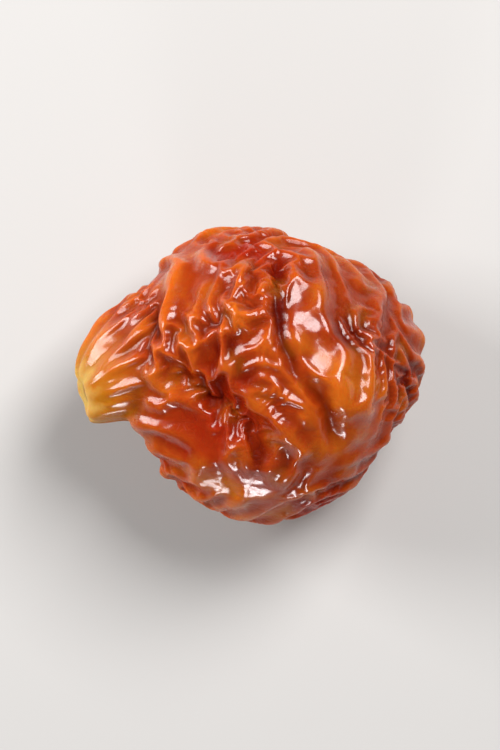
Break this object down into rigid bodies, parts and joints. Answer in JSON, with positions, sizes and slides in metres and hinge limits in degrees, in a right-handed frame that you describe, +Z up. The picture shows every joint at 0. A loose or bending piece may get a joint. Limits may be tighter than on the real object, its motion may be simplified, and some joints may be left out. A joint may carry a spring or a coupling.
{
  "type": "dried physalis berry",
  "caption": "Dried physalis (golden) berry without its husk: a wrinkled, glossy amber fruit with a blunt stem nub and scar, lying on a small flat spot.",
  "frame": {"origin": "middle of the berry's bounding box, on the surface that it lies on", "axes": "+X from the stem scar towards the blossom end, +Y across the berry, +Z up from the surface it lies on"},
  "size_m": [0.0168, 0.0142, 0.012],
  "materials": {
    "berry_skin": "glossy, slightly sticky, translucent dried fruit skin"
  },
  "bodies": {
    "root": {"berry": "berry_skin"}
  },
  "joints": []
}
